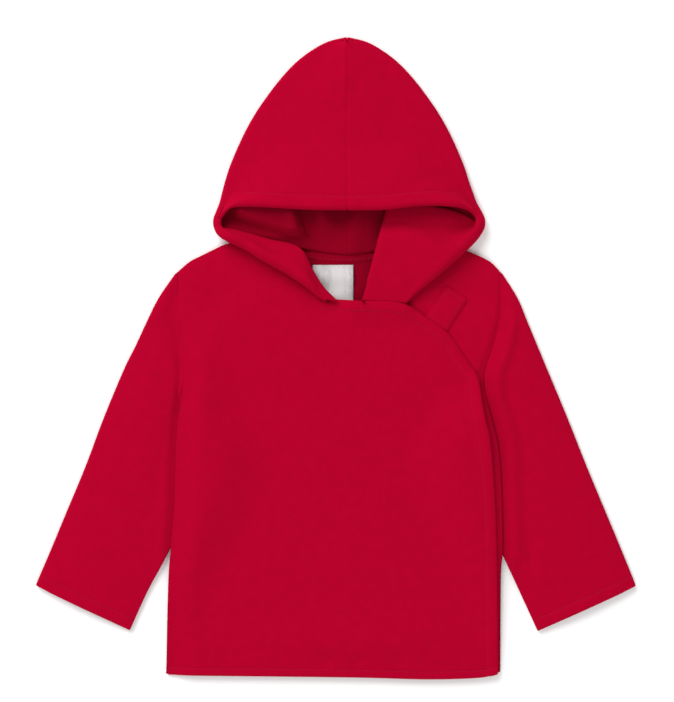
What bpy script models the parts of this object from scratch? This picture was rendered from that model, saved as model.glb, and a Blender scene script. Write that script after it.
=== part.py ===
"""Hooded wrap jacket in fleece for a small child, laid flat on its back.

+X is the wearer's left, +Y points from the hem to the peak of the hood and +Z up from the table.
Lengths in the tables are millimetres. Every cloth piece is a mid-surface with a wall put on it.
"""
import math
from collections import namedtuple

import bmesh
import bpy

MM = 0.001

WALL = 2.2              # thickness of the fleece
SEAM_GAP = 0.3          # between two pieces that are sewn together
LAYER_GAP = 0.6         # between panels that lie on each other
LAYER = WALL + LAYER_GAP
LABEL_WALL = 0.5
FIRST = WALL / 2        # height of a mid-surface that lies on the table
SECOND = FIRST + LAYER
THIRD = SECOND + LAYER

HOOD_CENTRE = 9.4       # the hood lies a little off the body's centre line
FOLD_STEPS = 4          # facets round a folded edge
RUN_STEPS = 6           # facets across each layer of folded cloth
SLEEVE_ROWS = 12

SLEEVE_LIFT = 5.7       # how far the body's sides are raised by the sleeves beneath them
FULL_REACH = 8.0        # width beyond a piece beneath that is still raised by all of it
LIFT_REACH = 50.0       # width over which that rise dies away
OVERLAP_REACH = 34.0    # width over which the overlap comes down from the underlap's edge

# ---------------------------------------------------------------- outlines of the body
SHOULDER_RIGHT = [(-144.8, 75.5), (-132.3, 86.2), (-121.0, 92.0), (-110.7, 96.8), (-80.0, 101.8),
                  (-42.6, 103.4)]
SHOULDER_LEFT = [(59.0, 103.4), (92.0, 102.0), (112.0, 97.6), (124.2, 93.2), (138.6, 86.0), (148.8, 75.5)]
NECK_BACK = [(-42.6, 103.4), (-34.0, 98.0), (-17.0, 92.6), (8.0, 90.4), (33.0, 92.6), (50.0, 98.0),
             (59.0, 103.4)]
NECK_RIGHT = [(-42.6, 103.4), (-38.0, 92.0), (-29.5, 73.0), (-13.0, 53.0)]
NECK_LEFT = [(22.0, 48.5), (38.0, 70.0), (51.0, 90.0), (59.0, 103.4)]

ARMHOLE_RIGHT = [(-144.8, 75.5), (-143.5, 48.0), (-140.5, 20.0), (-138.4, -2.0), (-138.0, -22.0),
                 (-140.8, -46.0)]
ARMHOLE_LEFT = [(148.8, 75.5), (149.0, 48.0), (145.6, 26.0), (139.6, 6.0), (134.6, -8.0), (132.8, -22.0),
                (137.0, -45.0)]
SIDE_RIGHT = [(-140.8, -46.0), (-142.8, -60.0), (-144.4, -84.0), (-145.6, -130.0), (-148.4, -170.0),
              (-150.6, -200.0), (-152.2, -284.0)]
SIDE_LEFT = [(137.0, -45.0), (141.0, -60.0), (145.4, -78.0), (148.0, -110.0), (149.2, -150.0),
             (149.2, -176.0), (147.6, -200.0), (147.4, -283.0)]
HEM = [(-152.2, -284.0), (-145.0, -285.0), (-60.0, -286.0), (20.0, -287.0), (82.0, -288.6), (125.0, -287.4),
       (141.0, -285.2), (147.4, -283.0)]

# Free edge of the overlap from the neck, and of the underlap beneath it, which mirrors it.
OVERLAP_TOP = [(-13.0, 53.0), (22.0, 50.8), (57.6, 49.0), (80.0, 36.5), (100.0, 22.0), (112.0, 6.0),
               (120.6, -6.8), (127.8, -18.0)]
OVERLAP_SIDE = [(127.8, -18.0), (129.6, -38.0), (132.6, -56.0), (136.8, -74.0), (140.4, -110.0),
                (142.4, -150.0), (143.4, -200.0), (144.6, -284.6)]
UNDERLAP_TOP = [(-118.0, -18.0), (-110.0, -5.0), (-100.0, 9.0), (-84.0, 25.0), (-64.0, 38.0), (-42.0, 46.0),
                (-10.0, 48.2), (22.0, 48.5)]
UNDERLAP_SIDE = [(-118.0, -18.0), (-121.0, -38.0), (-126.0, -74.0), (-130.0, -120.0), (-133.0, -190.0),
                 (-137.0, -281.0)]
UNDERLAP_HEM = [(-137.0, -281.0), (-60.0, -283.0), (20.0, -284.0), (82.0, -285.6), (125.0, -284.8),
                (147.4, -283.0)]

# ---------------------------------------------------------------- sleeves
# Each row runs from the outer fold to the underarm seam. roll is the radius of the fold, puff what the
# upper layer rises between fold and seam, lap the share of the width that lies beneath the body.
Cross = namedtuple("Cross", "outer_x outer_y inner_x inner_y roll puff lap")
SLEEVE_RIGHT = [
    Cross(-145.9, 74.9, -141.5, -46.0, 1.4, 0.0, 0.00),
    Cross(-160.2, 53.6, -140.0, -53.0, 1.7, 1.2, 0.06),
    Cross(-171.0, 32.0, -138.0, -60.0, 1.9, 2.0, 0.14),
    Cross(-181.0, 10.4, -133.0, -69.0, 1.9, 2.4, 0.30),
    Cross(-191.7, -11.3, -125.5, -81.0, 1.9, 2.5, 0.39),
    Cross(-209.7, -54.5, -119.5, -100.0, 1.9, 2.6, 0.42),
    Cross(-225.9, -97.7, -133.0, -139.0, 1.9, 2.6, 0.32),
    Cross(-243.9, -140.9, -153.5, -181.0, 1.9, 2.6, 0.12),
    Cross(-256.5, -173.3, -169.4, -212.0, 1.9, 2.6, 0.00),
    Cross(-268.2, -202.0, -185.4, -243.0, 1.9, 2.6, 0.00),
]
SLEEVE_LEFT = [
    Cross(149.9, 75.5, 137.5, -45.0, 1.4, 0.0, 0.00),
    Cross(162.9, 53.6, 136.4, -52.0, 1.7, 1.2, 0.06),
    Cross(171.9, 32.0, 134.6, -59.5, 1.9, 2.0, 0.16),
    Cross(180.9, 10.4, 130.5, -69.0, 1.9, 2.4, 0.34),
    Cross(189.9, -11.3, 123.5, -81.0, 1.9, 2.5, 0.43),
    Cross(207.9, -54.5, 117.5, -100.0, 1.9, 2.6, 0.46),
    Cross(225.0, -97.7, 131.0, -139.0, 1.9, 2.6, 0.34),
    Cross(243.0, -140.9, 151.0, -181.0, 1.9, 2.6, 0.12),
    Cross(256.5, -173.3, 166.5, -212.0, 1.9, 2.6, 0.00),
    Cross(268.2, -202.0, 181.8, -244.0, 1.9, 2.6, 0.00),
]

# ---------------------------------------------------------------- hood
# A station crosses half of the hood, from the edge of its lower layer (back seam, then neck seam) over
# the folded outline to the edge of its upper layer (crown seam, then face edge). The first number of
# each pair is the distance from the hood's centre line, the second is Y; top is the height of the
# upper layer's edge above the fold's own top.
Fold = namedtuple("Fold", "low_w low_y fold_w fold_y high_w high_y roll top")
CROWN = [
    Fold(0.3, 283.5, 0.3, 288.6, 0.3, 283.5, 2.2, 1.1),
    Fold(0.0, 272.0, 17.5, 284.2, 0.0, 272.0, 2.3, 1.3),
    Fold(0.0, 257.0, 33.0, 275.6, 0.0, 257.0, 2.4, 1.6),
    Fold(0.0, 241.0, 47.0, 264.6, 0.0, 241.0, 2.5, 2.0),
    Fold(0.0, 224.0, 60.0, 250.6, 0.0, 224.0, 2.6, 2.5),
    Fold(0.0, 205.0, 72.0, 235.0, 0.0, 206.0, 2.7, 3.0),
    Fold(0.0, 184.0, 82.5, 219.6, 0.0, 188.0, 2.8, 3.5),
    Fold(0.0, 162.0, 91.5, 203.6, 0.0, 170.0, 2.9, 4.0),
    Fold(0.0, 138.0, 99.0, 187.6, 0.0, 151.0, 3.1, 4.5),
    Fold(0.0, 114.0, 105.4, 172.0, 0.0, 132.6, 3.4, 4.7),
    Fold(0.0, 91.0, 109.4, 159.6, 33.0, 133.4, 3.7, 4.4),
]
CORNER_RIGHT = [
    Fold(25.0, 93.6, 112.4, 148.2, 64.0, 135.4, 3.9, 3.7),
    Fold(42.0, 99.2, 114.6, 139.5, 90.0, 136.6, 4.1, 2.6),
    Fold(52.0, 103.8, 117.6, 131.6, 104.0, 134.6, 4.1, 1.6),
    Fold(50.6, 98.6, 120.2, 124.6, 110.6, 128.6, 4.0, 0.8),
    Fold(49.0, 94.6, 120.0, 117.6, 112.4, 121.6, 3.8, 0.3),
    Fold(47.4, 91.2, 114.6, 110.2, 107.6, 118.6, 3.4, 0.0),
    Fold(46.4, 88.4, 104.0, 103.0, 97.5, 115.8, 3.1, 0.0),
    Fold(45.4, 86.0, 92.0, 96.6, 86.0, 110.6, 2.9, 0.0),
    Fold(43.6, 82.2, 75.6, 86.4, 66.0, 105.4, 2.7, 0.0),
    Fold(41.0, 76.5, 56.0, 75.4, 48.0, 97.4, 2.5, 0.0),
    Fold(36.0, 70.5, 42.0, 66.4, 37.4, 87.0, 2.3, 0.0),
    Fold(30.6, 66.0, 34.0, 60.6, 30.6, 73.0, 2.0, 0.0),
    Fold(25.4, 60.6, 28.0, 55.6, 24.9, 62.4, 1.7, 0.0),
]
CORNER_LEFT = [
    Fold(25.0, 93.6, 113.4, 148.2, 64.0, 135.4, 3.9, 3.7),
    Fold(40.6, 99.2, 116.6, 139.5, 92.0, 136.6, 4.1, 2.6),
    Fold(49.6, 103.6, 121.0, 131.6, 106.5, 134.6, 4.1, 1.6),
    Fold(48.0, 98.8, 124.0, 124.6, 114.2, 128.6, 4.0, 0.8),
    Fold(46.0, 95.2, 123.8, 117.0, 116.4, 120.6, 3.9, 0.4),
    Fold(44.0, 92.0, 119.6, 109.0, 111.0, 114.6, 3.7, 0.3),
    Fold(41.6, 88.6, 112.4, 100.6, 100.0, 111.6, 3.5, 0.3),
    Fold(38.8, 84.6, 104.0, 92.8, 84.0, 109.6, 3.3, 0.4),
    Fold(35.6, 80.0, 96.4, 86.2, 66.0, 112.2, 3.1, 0.6),
    Fold(32.0, 75.0, 89.0, 79.6, 48.0, 121.4, 2.9, 0.8),
    Fold(28.0, 69.0, 81.6, 73.0, 35.0, 124.6, 2.7, 0.8),
    Fold(23.6, 63.0, 73.0, 66.2, 29.6, 103.0, 2.4, 0.5),
    Fold(19.0, 57.4, 63.0, 59.6, 22.0, 76.0, 2.0, 0.2),
    Fold(14.0, 52.4, 51.0, 51.4, 13.2, 54.6, 1.6, 0.0),
]

# ---------------------------------------------------------------- tab and label
TAB_BASE = [(80.6, 37.4), (100.6, 24.6)]    # along the overlap's edge
TAB_LENGTH = 33.0
TAB_CORNER = 3.0
LABEL_SIZE = (37.0, 31.8)
LABEL_PLACE = (-3.2, 53.4)                  # middle of its lower edge

# ---------------------------------------------------------------- colours, linear
FLEECE_RED = (0.462, 0.0006, 0.024, 1.0)
SATIN = (0.62, 0.60, 0.59, 1.0)


def smooth(value):
    """Rises from 0 to 1 as value does, level at both ends."""
    clipped = min(max(value, 0.0), 1.0)
    return clipped * clipped * (3.0 - 2.0 * clipped)


def lerp(a, b, share):
    return tuple(p + (q - p) * share for p, q in zip(a, b))


def catmull(rows, position):
    """Point on the smooth curve through rows; position counts rows from the first."""
    last = len(rows) - 1
    i = min(int(position), last - 1)
    t = position - i
    before = rows[i - 1] if i > 0 else tuple(2 * p - q for p, q in zip(rows[0], rows[1]))
    after = rows[i + 2] if i + 2 <= last else tuple(2 * p - q for p, q in zip(rows[last], rows[last - 1]))
    point = []
    for a, b, c, d in zip(before, rows[i], rows[i + 1], after):
        point.append(b + 0.5 * t * (c - a + t * (2 * a - 5 * b + 4 * c - d + t * (3 * (b - c) + d - a))))
    return tuple(point)


def resample(rows, count):
    """count + 1 points, evenly spaced along the smooth curve through rows."""
    fine = [catmull(rows, k * (len(rows) - 1) / 240.0) for k in range(241)]
    reach = [0.0]
    for a, b in zip(fine, fine[1:]):
        reach.append(reach[-1] + math.dist(a[:2], b[:2]))
    points = []
    k = 0
    for step in range(count + 1):
        goal = reach[-1] * step / count
        while k < len(fine) - 2 and reach[k + 1] < goal:
            k += 1
        points.append(lerp(fine[k], fine[k + 1], (goal - reach[k]) / (reach[k + 1] - reach[k])))
    return points


def chain(*curves):
    """Joins (points, steps) curves end to end."""
    points = []
    for rows, count in curves:
        points += resample(rows, count)[1 if points else 0:]
    return points


def signed_distance(outline, x, y):
    """Distance from (x, y) to a closed outline, negative inside it."""
    nearest = 1e9
    inside = False
    for (ax, ay), (bx, by) in zip(outline, outline[1:] + outline[:1]):
        dx, dy = bx - ax, by - ay
        share = ((x - ax) * dx + (y - ay) * dy) / max(dx * dx + dy * dy, 1e-9)
        share = min(max(share, 0.0), 1.0)
        nearest = min(nearest, math.hypot(x - ax - share * dx, y - ay - share * dy))
        if (ay > y) != (by > y) and x < ax + dx * (y - ay) / dy:
            inside = not inside
    return -nearest if inside else nearest


def outline_of(*curves):
    """Closed outline from curves that each start where the one before ends."""
    points = []
    for rows in curves:
        points += resample(rows, 12)[:-1]
    return points


UNDERLAP_OUTLINE = outline_of(UNDERLAP_TOP, NECK_LEFT, SHOULDER_LEFT, ARMHOLE_LEFT, SIDE_LEFT,
                              UNDERLAP_HEM[::-1], UNDERLAP_SIDE[::-1])
OVERLAP_OUTLINE = outline_of(SHOULDER_RIGHT, NECK_RIGHT, OVERLAP_TOP, OVERLAP_SIDE,
                             [OVERLAP_SIDE[-1], HEM[0]], SIDE_RIGHT[::-1], ARMHOLE_RIGHT[::-1])
SLEEVE_OUTLINES = [
    resample([row[0:2] for row in rows], 16) + resample([row[2:4] for row in rows], 24)[::-1]
    for rows in (SLEEVE_RIGHT, SLEEVE_LEFT)
]


# ---------------------------------------------------------------- heights
def sleeve_lift(x, y):
    """How far the body is raised at (x, y) by the sleeve tucked beneath its side."""
    below_underarm = smooth((36.0 - y) / 80.0)
    if below_underarm == 0.0:
        return 0.0
    distance = min(signed_distance(outline, x, y) for outline in SLEEVE_OUTLINES)
    return SLEEVE_LIFT * below_underarm * (1.0 - smooth((distance - FULL_REACH) / LIFT_REACH))


def back_height(x, y):
    return FIRST + sleeve_lift(x, y)


def underlap_height(x, y):
    return SECOND + 1.16 * sleeve_lift(x, y)


def overlap_height(x, y):
    """On the underlap, coming down to the back beyond its edge and lifted where the hood runs beneath."""
    beyond = signed_distance(UNDERLAP_OUTLINE, x, y)
    on_underlap = 1.0 - smooth((beyond - FULL_REACH) / OVERLAP_REACH)
    along = smooth((x - 2.0) / 22.0) * (1.0 - smooth((x - 58.0) / 26.0))
    over_hood = 2.7 * along * (1.0 - smooth((51.0 - y) / 24.0))
    return SECOND + LAYER * on_underlap + over_hood + 1.38 * sleeve_lift(x, y)


def hood_low_height(x, y):
    """Lower layer of the hood: on the fronts near the neck, on the table beyond the shoulders."""
    on_right = signed_distance(OVERLAP_OUTLINE, x, y)
    on_left = signed_distance(UNDERLAP_OUTLINE, x, y)
    if on_right < on_left:
        front = overlap_height(x, y)
    else:
        front = underlap_height(x, y)
    share = 1.0 - smooth((min(on_right, on_left) - 5.0) / 15.0)
    return FIRST + (front + LAYER + LAYER_GAP - FIRST) * share


# ---------------------------------------------------------------- mesh building
Crossing = namedtuple("Crossing", "low fold high roll shape out")


def material(name, colour, roughness, sheen):
    made = bpy.data.materials.new(name)
    made.use_nodes = True
    shader = made.node_tree.nodes["Principled BSDF"]
    shader.inputs["Base Color"].default_value = colour
    shader.inputs["Roughness"].default_value = roughness
    shader.inputs["Metallic"].default_value = 0.0
    shader.inputs["Sheen Weight"].default_value = sheen
    return made


def cloth(name, rows, wall, finish):
    """Walled cloth on a grid of mid-surface points."""
    mesh = bpy.data.meshes.new(name)
    built = bmesh.new()
    grid = [[built.verts.new((x * MM, y * MM, z * MM)) for x, y, z in row] for row in rows]
    for above, below in zip(grid, grid[1:]):
        for k in range(len(above) - 1):
            built.faces.new((above[k], below[k], below[k + 1], above[k + 1]))
    bmesh.ops.recalc_face_normals(built, faces=built.faces)
    built.to_mesh(mesh)
    built.free()
    mesh.materials.append(finish)
    piece = bpy.data.objects.new(name, mesh)
    PIECES.objects.link(piece)
    solidify = piece.modifiers.new("wall", "SOLIDIFY")
    solidify.thickness = wall * MM
    solidify.offset = 0.0
    return piece


def patch(top, bottom, left, right):
    """Plan points of a four-sided panel; the edges share their corner points."""
    columns, lines = len(top) - 1, len(left) - 1
    rows = []
    for j in range(lines + 1):
        v = j / lines
        row = []
        for i in range(columns + 1):
            u = i / columns
            across = lerp(left[j], right[j], u)
            down = lerp(top[i], bottom[i], v)
            corners = lerp(lerp(top[0], top[-1], u), lerp(bottom[0], bottom[-1], u), v)
            row.append((across[0] + down[0] - corners[0], across[1] + down[1] - corners[1]))
        rows.append(row)
    return rows


def panel(name, plan, height, finish):
    """Body panel: its plan points raised to their height."""
    rows = [[(x, y, height(x, y)) for x, y in row] for row in plan]
    return cloth(name, rows, WALL, finish)


# ---------------------------------------------------------------- pieces
def make_back(finish):
    top = chain((SHOULDER_RIGHT, 6), (NECK_BACK, 8), (SHOULDER_LEFT, 6))
    left = chain((ARMHOLE_RIGHT, 6), (SIDE_RIGHT, 12))
    right = chain((ARMHOLE_LEFT, 6), (SIDE_LEFT, 12))
    return panel("back", patch(top, resample(HEM, 20), left, right), back_height, finish)


def make_front_left(finish):
    top = chain((UNDERLAP_TOP, 9), (NECK_LEFT, 4), (SHOULDER_LEFT, 5))
    left = resample(UNDERLAP_SIDE, 18)
    right = chain((ARMHOLE_LEFT, 6), (SIDE_LEFT, 12))
    return panel("front_left", patch(top, resample(UNDERLAP_HEM, 18), left, right), underlap_height, finish)


def make_front_right(finish):
    top = chain((SHOULDER_RIGHT, 6), (NECK_RIGHT, 4), (OVERLAP_TOP, 10))
    left = chain((ARMHOLE_RIGHT, 6), (SIDE_RIGHT, 12))
    right = resample(OVERLAP_SIDE, 18)
    hem = [point for point in HEM if point[0] < 130.0] + [OVERLAP_SIDE[-1]]
    return panel("front_right", patch(top, resample(hem, 20), left, right), overlap_height, finish)


def path_normal(points, number):
    """Unit normal, in plan, of a path at one of its points: on the left of its direction."""
    ax, ay = points[max(number - 1, 0)]
    bx, by = points[min(number + 1, len(points) - 1)]
    size = math.dist((ax, ay), (bx, by))
    return (-(by - ay) / size, (bx - ax) / size)


def folded(name, crossings, low_height, high_height, bend, finish):
    """Cloth folded at its outline; a crossing runs from its lower edge over the fold to its upper one."""
    path = [crossing.fold for crossing in crossings]
    rows = []
    for number, crossing in enumerate(crossings):
        out = crossing.out or path_normal(path, number)
        inset = crossing.roll + FIRST
        turn_at = (crossing.fold[0] - out[0] * inset, crossing.fold[1] - out[1] * inset)
        row = []
        for share in (k / RUN_STEPS for k in range(RUN_STEPS)):
            x, y = bend(number, 1 - share, lerp(crossing.low, turn_at, share))
            row.append((x, y, low_height(x, y)))
        base = low_height(*turn_at)
        for turn in (math.pi * k / FOLD_STEPS for k in range(FOLD_STEPS + 1)):
            bulge = crossing.roll * math.sin(turn)
            height = base + crossing.roll * (1 - math.cos(turn))
            row.append((turn_at[0] + out[0] * bulge, turn_at[1] + out[1] * bulge, height))
        for share in (k / RUN_STEPS for k in range(1, RUN_STEPS + 1)):
            x, y = bend(number, share, lerp(turn_at, crossing.high, share))
            row.append((x, y, high_height(crossing, share, base + 2 * crossing.roll)))
        rows.append(row)
    return cloth(name, rows, WALL, finish)


def make_sleeve(name, table, armhole, finish):
    """Sleeve folded down its outer side, its two edges meeting in the underarm seam."""
    stations = [Cross(*catmull(table, k * (len(table) - 1) / SLEEVE_ROWS)) for k in range(SLEEVE_ROWS + 1)]
    if table[0].outer_x < 0:
        stations.reverse()
    armhole_row = stations.index(min(stations, key=lambda station: -station.outer_y))
    edge = resample(armhole, RUN_STEPS)
    length = math.dist(edge[0], edge[1])
    along_armhole = ((edge[0][0] - edge[1][0]) / length, (edge[0][1] - edge[1][1]) / length)
    inset = table[0].roll + FIRST
    start = (edge[0][0] - along_armhole[0] * inset, edge[0][1] - along_armhole[1] * inset)
    crossings = []
    for number, station in enumerate(stations):
        inner = (station.inner_x, station.inner_y)
        out = along_armhole if number == armhole_row else None
        outer = (station.outer_x, station.outer_y)
        crossings.append(Crossing(inner, outer, inner, station.roll, station, out))

    def bend(number, share, point):
        """The rings next to the armhole follow its curve; share runs from the outer fold to the seam."""
        curve = edge[round(share * RUN_STEPS)]
        chord = lerp(start, edge[-1], share)
        near = 1.0 - smooth(abs(number - armhole_row) / 4.0)
        return (point[0] + near * (curve[0] - chord[0]), point[1] + near * (curve[1] - chord[1]))

    def high(crossing, share, fold_top):
        free = 1.0 - crossing.shape.lap
        rise = crossing.shape.puff * math.sin(math.pi * min(share / free, 1.0)) ** 0.8
        return fold_top + (SECOND - fold_top) * share + rise

    return folded(name, crossings, lambda x, y: FIRST, high, bend, finish)


def make_hood_half(name, side, corner, finish):
    """Half of the hood: its lower layer, the folded outline, and the crown and flap on top."""
    crossings = []
    for row in CROWN + corner:
        spots = ((row.low_w, row.low_y), (row.fold_w, row.fold_y), (row.high_w, row.high_y))
        low, fold, high = ((HOOD_CENTRE + side * (w + SEAM_GAP / 2), y) for w, y in spots)
        crossings.append(Crossing(low, fold, high, row.roll, row, None))
    crossings[0] = crossings[0]._replace(out=(0.0, 1.0))
    if side < 0:
        crossings.reverse()

    def keep(number, share, point):
        return point

    def high(crossing, share, fold_top):
        return fold_top + crossing.shape.top * math.sin(math.pi / 2 * share)

    return folded(name, crossings, hood_low_height, high, keep, finish)


def make_tab(finish):
    (ax, ay), (bx, by) = TAB_BASE
    width = math.dist(*TAB_BASE)
    along = ((bx - ax) / width, (by - ay) / width)
    out = (-along[1], along[0])
    rows = []
    for reach in (0.0, TAB_LENGTH / 3, 2 * TAB_LENGTH / 3, TAB_LENGTH - TAB_CORNER, TAB_LENGTH):
        trim = TAB_CORNER if reach == TAB_LENGTH else 0.0
        row = []
        for share in (0.0, 0.33, 0.67, 1.0):
            run = trim + (width - 2 * trim) * share
            x = ax + along[0] * run + out[0] * reach
            y = ay + along[1] * run + out[1] * reach
            row.append((x, y, THIRD))
        rows.append(row)
    return cloth("closure_tab", rows, WALL, finish)


def make_label(finish):
    (width, height), (x, y) = LABEL_SIZE, LABEL_PLACE
    level = WALL + SEAM_GAP + LABEL_WALL / 2
    rows = [[(x - width / 2, y + height, level), (x + width / 2, y + height, level)],
            [(x - width / 2, y, level), (x + width / 2, y, level)]]
    return cloth("neck_label", rows, LABEL_WALL, finish)


for old in list(bpy.data.objects):
    bpy.data.objects.remove(old, do_unlink=True)
PIECES = bpy.data.collections.new("fleece_jacket")
bpy.context.scene.collection.children.link(PIECES)

fleece = material("red_fleece", FLEECE_RED, 0.95, 0.4)
satin = material("white_satin", SATIN, 0.35, 0.0)

make_back(fleece)
make_front_left(fleece)
make_front_right(fleece)
make_sleeve("sleeve_right", SLEEVE_RIGHT, ARMHOLE_RIGHT, fleece)
make_sleeve("sleeve_left", SLEEVE_LEFT, ARMHOLE_LEFT, fleece)
make_hood_half("hood_right", -1.0, CORNER_RIGHT, fleece)
make_hood_half("hood_left", 1.0, CORNER_LEFT, fleece)
make_tab(fleece)
make_label(satin)
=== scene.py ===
import math

import bpy
import numpy as np
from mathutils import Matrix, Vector
from mathutils.bvhtree import BVHTree


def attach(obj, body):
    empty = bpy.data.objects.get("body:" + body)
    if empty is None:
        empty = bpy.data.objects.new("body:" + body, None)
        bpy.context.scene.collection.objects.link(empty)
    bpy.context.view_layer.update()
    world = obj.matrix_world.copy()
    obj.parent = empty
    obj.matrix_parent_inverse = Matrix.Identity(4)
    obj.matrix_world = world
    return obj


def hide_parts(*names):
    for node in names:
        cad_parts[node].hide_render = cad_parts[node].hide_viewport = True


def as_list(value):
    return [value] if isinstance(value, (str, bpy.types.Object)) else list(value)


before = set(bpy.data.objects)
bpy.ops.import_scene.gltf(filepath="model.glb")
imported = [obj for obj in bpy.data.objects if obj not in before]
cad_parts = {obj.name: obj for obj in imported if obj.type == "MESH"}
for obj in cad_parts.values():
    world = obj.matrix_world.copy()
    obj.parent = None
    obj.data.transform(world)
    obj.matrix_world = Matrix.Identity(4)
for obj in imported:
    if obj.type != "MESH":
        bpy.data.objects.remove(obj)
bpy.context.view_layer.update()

# a small child's hooded fleece jacket, laid flat on its back
mm = 0.001   # sizes and heights below are in millimetres, except where a line says metres


# small tools

def smooth(value):
    # 0 to 1, level at both ends
    clipped = np.clip(value, 0.0, 1.0)
    return clipped * clipped * (3.0 - 2.0 * clipped)


def throughRows(rows, positions, corners=()):
    # smooth curve through table rows; positions count rows, and it may turn sharply at the corners
    table = np.array(rows, dtype=float)
    last = len(table) - 1
    whole = np.clip(positions.astype(int), 0, last - 1)
    t = (positions - whole)[:, None]
    here, there = table[whole], table[whole + 1]
    before = table[np.maximum(whole - 1, 0)].copy()
    after = table[np.minimum(whole + 2, last)].copy()
    sharpStart = np.isin(whole, [0, *corners])
    sharpEnd = np.isin(whole + 1, [last, *corners])
    before[sharpStart] = (2 * here - there)[sharpStart]
    after[sharpEnd] = (2 * there - here)[sharpEnd]
    cubic = 3 * (here - there) + after - before
    return here + 0.5 * t * (there - before + t * (2 * before - 5 * here + 4 * there - after + t * cubic))


def lineThrough(*runs):
    # smooth runs joined end to end, as one dense line
    line = np.empty((0, 2))
    for points in runs:
        run = throughRows(points, np.linspace(0, len(points) - 1, 20 * (len(points) - 1) + 1))
        line = np.concatenate([line, run[1:] if len(line) else run])
    return line


def reachAlong(line):
    return np.concatenate([[0.0], np.cumsum(np.linalg.norm(np.diff(line, axis=0), axis=1))])


def pointsAt(line, shares):
    # points at shares of a line's length
    reach = reachAlong(line)
    return np.stack([np.interp(shares * reach[-1], reach, line[:, k]) for k in range(line.shape[1])], axis=1)


def thinned(line, step=4.0):
    count = max(int(reachAlong(line)[-1] / step), 2)
    return pointsAt(line, np.linspace(0, 1, count + 1))


def distanceTo(line, x, y):
    nearest = np.full(np.shape(x), 1e9)
    for (ax, ay), (bx, by) in zip(line[:-1], line[1:]):
        dx, dy = bx - ax, by - ay
        share = np.clip(((x - ax) * dx + (y - ay) * dy) / max(dx * dx + dy * dy, 1e-9), 0, 1)
        nearest = np.minimum(nearest, np.hypot(x - ax - share * dx, y - ay - share * dy))
    return nearest


def signedDistance(outline, x, y):
    # distance to a closed outline, negative inside it
    closed = np.concatenate([outline, outline[:1]])
    inside = np.zeros(np.shape(x), dtype=bool)
    for (ax, ay), (bx, by) in zip(closed[:-1], closed[1:]):
        if ay != by:
            inside ^= ((ay > y) != (by > y)) & (x < ax + (bx - ax) * (y - ay) / (by - ay))
    return np.where(inside, -1.0, 1.0) * distanceTo(closed, x, y)


def gradedShares(length, band, coarse, fineEnds=(True, True)):
    # steps of about 1 mm in the hems at the ends, wider between
    near = [0.0, 0.02, 0.06, 0.3, 0.7, 1.2, 1.9]
    while near[-1] < band:
        near.append(near[-1] + 1.0)
    while near[-1] - near[-2] < coarse:
        near.append(near[-1] + 1.25 * (near[-1] - near[-2]))
    near = np.array(near)
    start = near if fineEnds[0] else near[:1]
    end = near if fineEnds[1] else near[:1]
    middle = length - start[-1] - end[-1]
    count = max(int(round(middle / coarse)), 1)
    inner = start[-1] + middle * np.arange(1, count) / count
    return np.concatenate([start, inner, length - end[::-1]]) / length


def softWaves(x, y, seed, wavelength, height):
    # gentle unevenness of cloth that was smoothed by hand
    dice = np.random.default_rng(seed)
    total = np.zeros(np.shape(x))
    for k in range(7):
        turn = dice.uniform(0, math.pi)
        pace = 2 * math.pi / (wavelength * dice.uniform(0.7, 1.5))
        total += np.sin(pace * (x * math.cos(turn) + y * math.sin(turn)) + dice.uniform(0, 2 * math.pi))
    return total * height / 3.0


def creaseHeights(rows, x, y):
    # soft ridges and troughs: from, to, half width, height; each dies away towards its ends
    total = np.zeros(np.shape(x))
    for x0, y0, x1, y1, width, height in rows:
        dx, dy = x1 - x0, y1 - y0
        length = math.hypot(dx, dy)
        along = ((x - x0) * dx + (y - y0) * dy) / length ** 2
        off = ((x - x0) * dy - (y - y0) * dx) / length
        total += height * np.exp(-(off / width) ** 2) * (1 - smooth(np.abs(2 * along - 1)))
    return total


def rolledEdge(distance, reach, depth):
    # how far a rounded edge has gone down
    left = 1 - np.clip(distance / reach, 0.0, 1.0)
    return depth * (1 - np.sqrt(1 - left ** 2))


def hemHeights(distance, width, rise, groove, reach, depth):
    # a turned hem: a raised band, the dent of its stitching, and an edge that rolls down
    band = rise * (1 - smooth((distance - 0.75 * width) / (0.35 * width)))
    off = distance - width
    dent = groove * (np.exp(-off ** 2) + 0.6 * np.exp(-(off / 2.6) ** 2))
    return band - dent - rolledEdge(distance, reach, depth)


def patchBetween(top, bottom, left, right, acrossShares, downShares):
    # plan points of a four-sided panel
    t, b = pointsAt(top, acrossShares), pointsAt(bottom, acrossShares)
    l, r = pointsAt(left, downShares), pointsAt(right, downShares)
    u, v = acrossShares[None, :, None], downShares[:, None, None]
    sides = l[:, None] * (1 - u) + r[:, None] * u
    ends = t[None] * (1 - v) + b[None] * v
    topCorners = top[0] * (1 - u) + top[-1] * u
    bottomCorners = bottom[0] * (1 - u) + bottom[-1] * u
    return sides + ends - (topCorners * (1 - v) + bottomCorners * v)


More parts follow.
